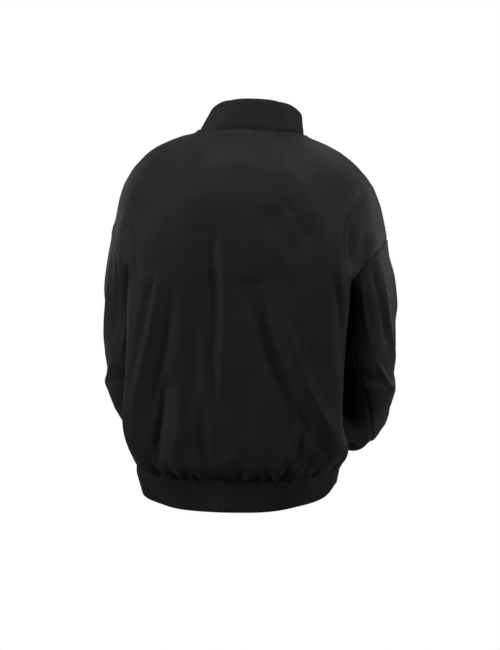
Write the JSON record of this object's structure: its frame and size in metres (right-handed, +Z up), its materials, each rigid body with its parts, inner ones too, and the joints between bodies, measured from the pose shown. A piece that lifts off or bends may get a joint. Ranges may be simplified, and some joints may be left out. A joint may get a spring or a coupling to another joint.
{
  "type": "bomber jacket",
  "caption": "Plain black bomber jacket, zipped up and filled out with nobody inside: drop shoulders, two-piece sleeves, rib collar, cuffs and hem, and a front zip with a hinged pull tab.",
  "frame": {"origin": "in the middle of the neck opening, level with the neck seam at the centre back, where the wearer's shoulders and neck hold the jacket", "axes": "+Z up, the front faces -Y, the wearer's left is +X"},
  "size_m": [0.529, 0.3566, 0.7243],
  "materials": {
    "black_cloth": "smooth woven, soft sheen",
    "black_rib": "matt rib knit",
    "black_tape": "matt woven tape",
    "dark_metal": "dark, satin"
  },
  "bodies": {
    "jacket": {"back": "black_cloth", "front_left": "black_cloth", "front_right": "black_cloth", "sleeve_left_upper": "black_cloth", "sleeve_left_under": "black_cloth", "sleeve_right_upper": "black_cloth", "sleeve_right_under": "black_cloth", "collar": "black_rib", "hem_rib": "black_rib", "cuff_left": "black_rib", "cuff_right": "black_rib", "zip_tape_left": "black_tape", "zip_tape_right": "black_tape", "zip_chain": "dark_metal", "zip_box": "dark_metal", "zip_slider": "dark_metal"},
    "pull_tab": {"zip_pull": "dark_metal"}
  },
  "joints": [
    {"name": "pull_tab_hinge", "type": "hinge", "parent": "jacket", "child": "pull_tab", "pos_m": [0, -0.08745, -0.04938], "axis": [-1, 0, 0], "range_deg": [0, 150]}
  ]
}
